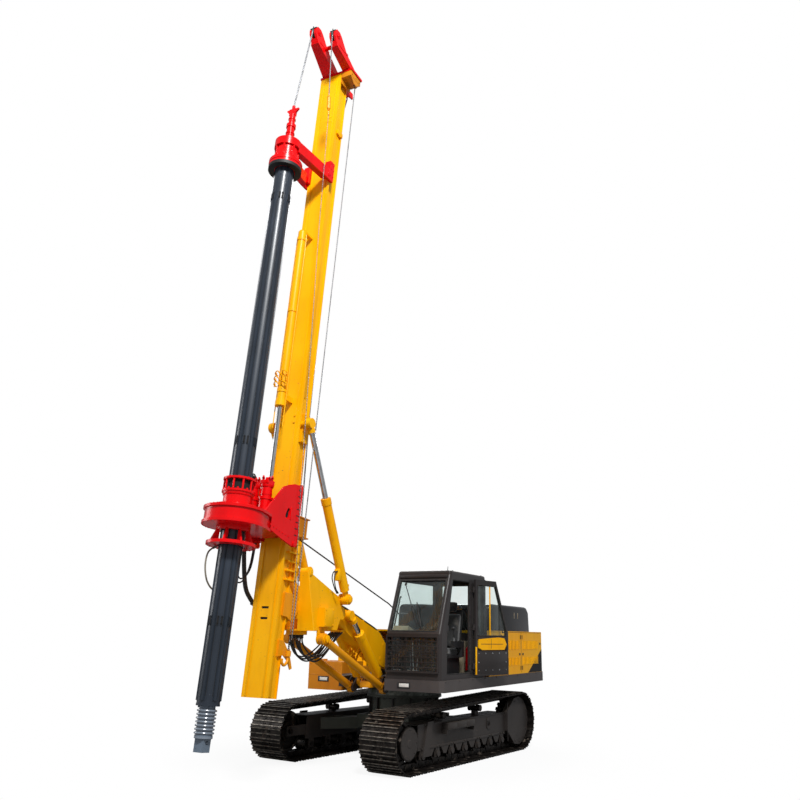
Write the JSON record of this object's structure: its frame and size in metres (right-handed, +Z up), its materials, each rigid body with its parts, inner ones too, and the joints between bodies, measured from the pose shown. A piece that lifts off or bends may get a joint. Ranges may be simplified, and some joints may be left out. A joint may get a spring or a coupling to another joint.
{
  "type": "rotary piling rig",
  "caption": "Tracked rotary piling rig with a slewing upper, cab, parallelogram boom, leaning mast, rotary drive and telescopic kelly bar.",
  "frame": {"origin": "on the ground under the slew axis", "axes": "+Z up along the slew axis, -Y forward towards the mast, +X to the machine's left, the cab side"},
  "size_m": [3.326, 8.1421, 11.845],
  "materials": {
    "yellow_paint": "gloss chrome-yellow enamel",
    "red_paint": "gloss signal-red enamel",
    "orange_paint": "faded orange-brown enamel",
    "cab_paint": "satin dark-grey enamel",
    "hood_paint": "satin black enamel",
    "skirt_paint": "satin grey enamel",
    "frame_paint": "dusty grey undercarriage paint",
    "track_steel": "worn forged steel with dry soil",
    "kelly_steel": "oiled blue-grey rolled steel",
    "rod_chrome": "ground hard chrome",
    "machined_steel": "machined steel with oil film",
    "cast_weight": "painted cast iron",
    "cab_glass": "tinted safety glass",
    "seat_fabric": "woven black seat cloth",
    "console_plastic": "textured beige moulded plastic",
    "seat_plastic": "black moulded plastic"
  },
  "bodies": {
    "base": {"car_body": "frame_paint", "slew_ring": "machined_steel", "left_track": "track_steel", "right_track": "track_steel", "left_track_frame": "frame_paint", "right_track_frame": "frame_paint", "track_rollers": "track_steel", "track_idlers": "track_steel", "track_sprockets": "track_steel"},
    "upper": {"revolving_frame": "skirt_paint", "cab_frame": "cab_paint", "cab_roof": "cab_paint", "cab_floor": "seat_plastic", "cab_glass": "cab_glass", "front_guard": "cab_paint", "seat_frame": "seat_plastic", "seat_cushion": "seat_fabric", "cab_consoles": "console_plastic", "left_body_cover": "yellow_paint", "right_body_cover": "yellow_paint", "middle_cover": "yellow_paint", "engine_hood": "hood_paint", "engine_block": "cast_weight", "counterweight": "yellow_paint", "front_tank": "orange_paint", "winch_frame": "yellow_paint"},
    "cab_door": {"cab_door": "cab_paint", "door_glass": "cab_glass"},
    "winch_drum": {"winch_drum": "yellow_paint"},
    "boom": {"boom": "yellow_paint"},
    "lower_links": {"lower_links": "orange_paint"},
    "luff_barrels": {"luff_cylinder_barrels": "yellow_paint"},
    "luff_rods": {"luff_cylinder_rods": "rod_chrome"},
    "triangle": {"triangle_frame": "yellow_paint"},
    "mast_barrels": {"mast_cylinder_barrels": "yellow_paint"},
    "mast_rods": {"mast_cylinder_rods": "rod_chrome"},
    "mast": {"mast": "yellow_paint", "mast_head": "red_paint", "crowd_barrel": "yellow_paint", "rope_guide": "orange_paint"},
    "main_sheave": {"main_sheave": "machined_steel"},
    "aux_sheave": {"aux_sheave": "machined_steel"},
    "rotary_drive": {"drive_gearbox": "red_paint", "drive_cage": "red_paint", "casing_adapter": "red_paint", "drive_carriage": "red_paint", "drive_motors": "red_paint", "crowd_rod": "rod_chrome"},
    "kelly_guide": {"kelly_guide": "red_paint", "rope_swivel": "red_paint"},
    "kelly_outer": {"kelly_tube": "kelly_steel"},
    "kelly_inner": {"kelly_bar": "kelly_steel", "kelly_spring": "machined_steel"}
  },
  "joints": [
    {"name": "slew", "type": "hinge", "parent": "base", "child": "upper", "pos_m": [0, 0, 1], "axis": [0, 0, 1], "continuous": true},
    {"name": "cab_door_hinge", "type": "hinge", "parent": "upper", "child": "cab_door", "pos_m": [1.492, -0.44, 2], "axis": [0, 0, -1], "range_deg": [0, 168]},
    {"name": "winch_turn", "type": "hinge", "parent": "upper", "child": "winch_drum", "pos_m": [0, 0.64, 1.69], "axis": [1, 0, 0], "continuous": true},
    {"name": "boom_luff", "type": "hinge", "parent": "upper", "child": "boom", "pos_m": [0, -0.72, 1.47], "axis": [-1, 0, 0], "range_deg": [-22, 45]},
    {"name": "link_luff", "type": "hinge", "parent": "upper", "child": "lower_links", "pos_m": [0, -1.26, 1.105], "axis": [-1, 0, 0], "range_deg": [-22, 45]},
    {"name": "triangle_level", "type": "hinge", "parent": "boom", "child": "triangle", "pos_m": [0, -2.46046, 2.21956], "axis": [-1, 0, 0], "range_deg": [-45, 22]},
    {"name": "luff_barrel_swing", "type": "hinge", "parent": "upper", "child": "luff_barrels", "pos_m": [0, -1.15, 1.2], "axis": [-1, 0, 0], "range_deg": [-22.5, 45.5]},
    {"name": "luff_rod_slide", "type": "slide", "parent": "luff_barrels", "child": "luff_rods", "axis": [0, -0.7017, 0.7125], "range_m": [-0.1892, 0.3839]},
    {"name": "mast_tilt", "type": "hinge", "parent": "triangle", "child": "mast", "pos_m": [0, -3.52, 2.24], "axis": [-1, 0, 0], "range_deg": [-10.33, 9.67]},
    {"name": "mast_barrel_swing", "type": "hinge", "parent": "triangle", "child": "mast_barrels", "pos_m": [0, -2.48, 2.42], "axis": [-1, 0, 0], "range_deg": [-9.49, 8.91]},
    {"name": "mast_rod_slide", "type": "slide", "parent": "mast_barrels", "child": "mast_rods", "axis": [0, -0.4348, 0.9005], "range_m": [-0.1735, 0.1851]},
    {"name": "main_sheave_turn", "type": "hinge", "parent": "mast", "child": "main_sheave", "pos_m": [0, -3.64873, 11.733], "axis": [1, 0, 0], "continuous": true},
    {"name": "aux_sheave_turn", "type": "hinge", "parent": "mast", "child": "aux_sheave", "pos_m": [0.33, -3.54757, 11.63318], "axis": [1, 0, 0], "continuous": true},
    {"name": "drive_crowd", "type": "slide", "parent": "mast", "child": "rotary_drive", "axis": [0, 0.0929, 0.9957], "range_m": [-1.55, 0.7]},
    {"name": "guide_travel", "type": "slide", "parent": "mast", "child": "kelly_guide", "axis": [0, 0.0929, 0.9957], "range_m": [-3.9, 1.3]},
    {"name": "kelly_spin", "type": "hinge", "parent": "kelly_guide", "child": "kelly_outer", "pos_m": [0, -4.82334, 2.3616], "axis": [0, 0.0929, 0.9957], "continuous": true},
    {"name": "kelly_extend", "type": "slide", "parent": "kelly_outer", "child": "kelly_inner", "axis": [0, -0.0929, -0.9957], "range_m": [0, 6.2]}
  ],
  "couplings": [
    {"joint": "link_luff", "follows": "boom_luff", "ratio": 1},
    {"joint": "triangle_level", "follows": "boom_luff", "ratio": -1},
    {"joint": "luff_barrel_swing", "follows": "boom_luff", "ratio": 1},
    {"joint": "luff_rod_slide", "follows": "boom_luff", "m_per_rad": 0.485},
    {"joint": "mast_barrel_swing", "follows": "mast_tilt", "ratio": 0.89},
    {"joint": "mast_rod_slide", "follows": "mast_tilt", "m_per_rad": -1.01}
  ]
}
